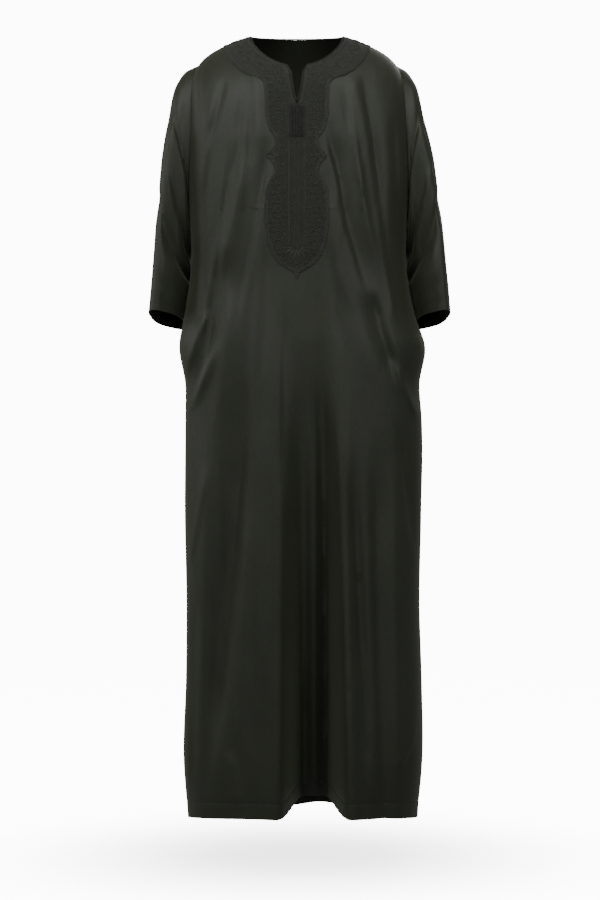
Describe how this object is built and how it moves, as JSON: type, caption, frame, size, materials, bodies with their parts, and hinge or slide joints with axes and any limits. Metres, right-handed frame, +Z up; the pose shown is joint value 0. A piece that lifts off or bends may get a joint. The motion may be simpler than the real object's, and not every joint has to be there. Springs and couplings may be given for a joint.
{
  "type": "thobe",
  "caption": "Ankle-length collarless thobe with an embroidered neck band and chest plaque, wide three-quarter sleeves and side-seam pockets, hollow as when worn.",
  "frame": {"origin": "base of the neck on the shoulder line, midway between the two shoulder points of the neckline", "axes": "+Z up, +X to the right seen from the front, the front faces -Y"},
  "size_m": [0.551, 0.3156, 1.4426],
  "materials": {
    "satin": "soft satin sheen",
    "thread": "matt machine embroidery",
    "cord": "round twisted cord",
    "pocketing": "plain matt weave"
  },
  "bodies": {
    "root": {"front_panel": "satin", "back_panel": "satin", "sleeve_left": "satin", "sleeve_right": "satin", "neck_piping": "cord", "embroidery_front": "thread", "embroidery_back": "thread", "slit_cords": "cord", "pocket_left": "pocketing", "pocket_right": "pocketing"}
  },
  "joints": []
}
